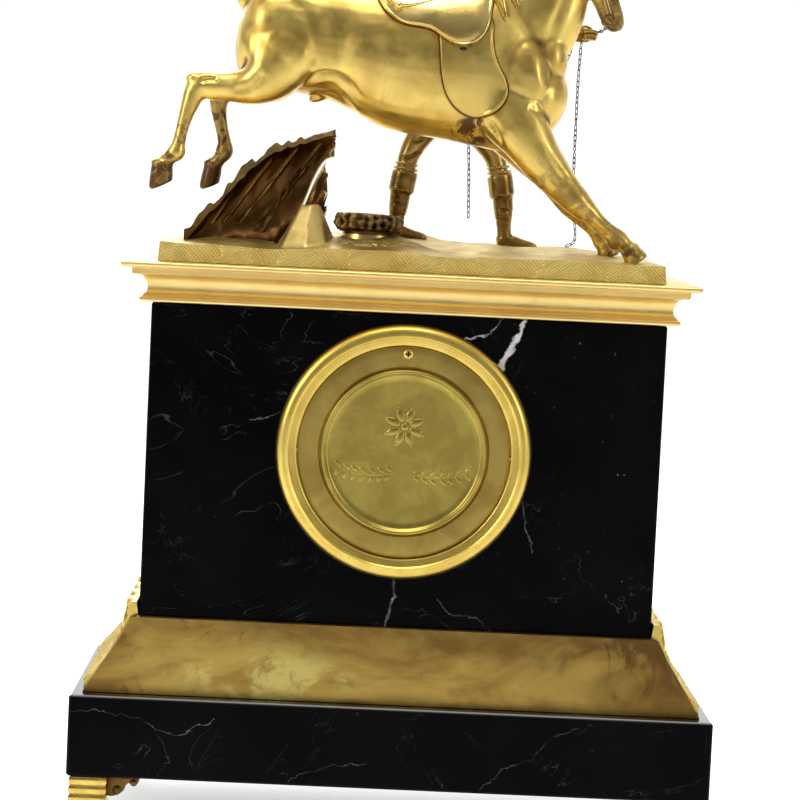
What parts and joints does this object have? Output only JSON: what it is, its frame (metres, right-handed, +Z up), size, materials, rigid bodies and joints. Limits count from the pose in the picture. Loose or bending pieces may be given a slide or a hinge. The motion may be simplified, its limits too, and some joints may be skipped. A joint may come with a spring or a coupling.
{
  "type": "mantel clock",
  "caption": "Mantel clock with a black marble case, gilt mounts, hinged dial door, lift-out rear cover and a cast horse and groom on top.",
  "frame": {"origin": "middle of the footprint, on the plane under the feet", "axes": "+Z up, -Y towards the viewer of the dial, +X to that viewer's right"},
  "size_m": [0.33, 0.158, 0.4982],
  "materials": {
    "marble": "polished black marble with thin white veins",
    "gilt": "polished gilt bronze with slight brown staining",
    "gilt_matt": "matt chased gilt bronze",
    "patina": "plain sheet with blotched brown patina",
    "dark_bronze": "dark brown patinated bronze",
    "brass": "satin clockmaker's brass",
    "steel": "bright steel",
    "blued_steel": "blued steel",
    "enamel": "white fired enamel",
    "glass": "clear domed glass"
  },
  "bodies": {
    "case": {"base_slab": "marble", "foot_back_left": "gilt", "foot_back_right": "gilt", "foot_front_left": "gilt", "foot_front_right": "gilt", "skirt_back_panel": "patina", "skirt_left_panel": "gilt_matt", "skirt_right_panel": "gilt_matt", "skirt_front_panel": "gilt_matt", "case_front": "marble", "case_back": "marble", "case_left": "marble", "case_right": "marble", "cornice": "gilt", "terrain": "gilt_matt", "tie_rod_left": "steel", "tie_rod_right": "steel", "tie_nut_left": "brass", "tie_nut_right": "brass", "horse": "gilt", "saddle": "gilt", "groom": "gilt", "hollow_log": "dark_bronze", "stump": "dark_bronze", "chain_long": "dark_bronze", "chain_lead": "dark_bronze", "chain_to_bit": "dark_bronze", "dial_surround": "gilt", "dial": "enamel", "hinge_pin": "brass", "hinge_bracket": "gilt", "front_plate": "brass", "back_plate": "brass", "going_barrel": "brass", "strike_barrel": "brass", "third_wheel": "brass", "escape_wheel": "brass", "pendulum_cock": "brass", "bell": "brass", "movement_strap_left": "steel", "movement_strap_right": "steel", "rear_ring": "gilt"},
    "minute_arbor": {"minute_hand": "blued_steel", "hand_nut": "brass", "cannon_pinion": "steel", "centre_wheel": "brass"},
    "hour_pipe": {"hour_hand": "blued_steel", "hour_wheel": "brass"},
    "minute_wheel": {"minute_wheel": "brass"},
    "dial_door": {"door_ring": "gilt", "door_glass": "glass"},
    "rear_cover": {"rear_cover": "gilt_matt", "rear_medallion": "gilt_matt"},
    "cover_screw": {"cover_screw": "brass"},
    "pendulum": {"pendulum": "brass"},
    "anchor": {"anchor": "steel"},
    "going_arbor": {"going_arbor": "steel"},
    "strike_arbor": {"strike_arbor": "steel"},
    "hammer": {"hammer": "steel"},
    "chain_end": {"chain_end": "dark_bronze"}
  },
  "joints": [
    {"name": "minute_hand_turn", "type": "hinge", "parent": "case", "child": "minute_arbor", "pos_m": [0, 0, 0.201], "axis": [0, 1, 0], "continuous": true},
    {"name": "hour_hand_turn", "type": "hinge", "parent": "case", "child": "hour_pipe", "pos_m": [0, 0, 0.201], "axis": [0, 1, 0], "continuous": true},
    {"name": "minute_wheel_turn", "type": "hinge", "parent": "case", "child": "minute_wheel", "pos_m": [0.012, 0, 0.201], "axis": [0, 1, 0], "continuous": true},
    {"name": "dial_door_hinge", "type": "hinge", "parent": "case", "child": "dial_door", "pos_m": [0.0645, -0.0526, 0.201], "axis": [0, 0, 1], "range_deg": [0, 110]},
    {"name": "rear_cover_lift_off", "type": "slide", "parent": "case", "child": "rear_cover", "axis": [0, 1, 0], "range_m": [0, 0.03]},
    {"name": "cover_screw_out", "type": "slide", "parent": "rear_cover", "child": "cover_screw", "axis": [0, 1, 0], "range_m": [0, 0.01]},
    {"name": "pendulum_swing", "type": "hinge", "parent": "case", "child": "pendulum", "pos_m": [0, 0.009, 0.236], "axis": [0, 1, 0], "range_deg": [-4, 4]},
    {"name": "anchor_rock", "type": "hinge", "parent": "case", "child": "anchor", "pos_m": [0, 0, 0.236], "axis": [0, 1, 0], "range_deg": [-4, 4]},
    {"name": "going_winding_turn", "type": "hinge", "parent": "case", "child": "going_arbor", "pos_m": [0.021, 0, 0.184], "axis": [0, 1, 0], "continuous": true},
    {"name": "strike_winding_turn", "type": "hinge", "parent": "case", "child": "strike_arbor", "pos_m": [-0.021, 0, 0.184], "axis": [0, 1, 0], "continuous": true},
    {"name": "hammer_lift", "type": "hinge", "parent": "case", "child": "hammer", "pos_m": [0.0256, 0.017, 0.229], "axis": [0, -1, 0], "range_deg": [0, 14], "stiffness_Nm_per_rad": 0.005},
    {"name": "chain_end_swing", "type": "hinge", "parent": "case", "child": "chain_end", "pos_m": [-0.0292, -0.036, 0.359], "axis": [1, 0, 0], "range_deg": [-15, 15]}
  ],
  "couplings": [
    {"joint": "hour_hand_turn", "follows": "minute_hand_turn", "ratio": 0.083333},
    {"joint": "minute_wheel_turn", "follows": "minute_hand_turn", "ratio": -0.33333},
    {"joint": "anchor_rock", "follows": "pendulum_swing", "ratio": 1}
  ]
}
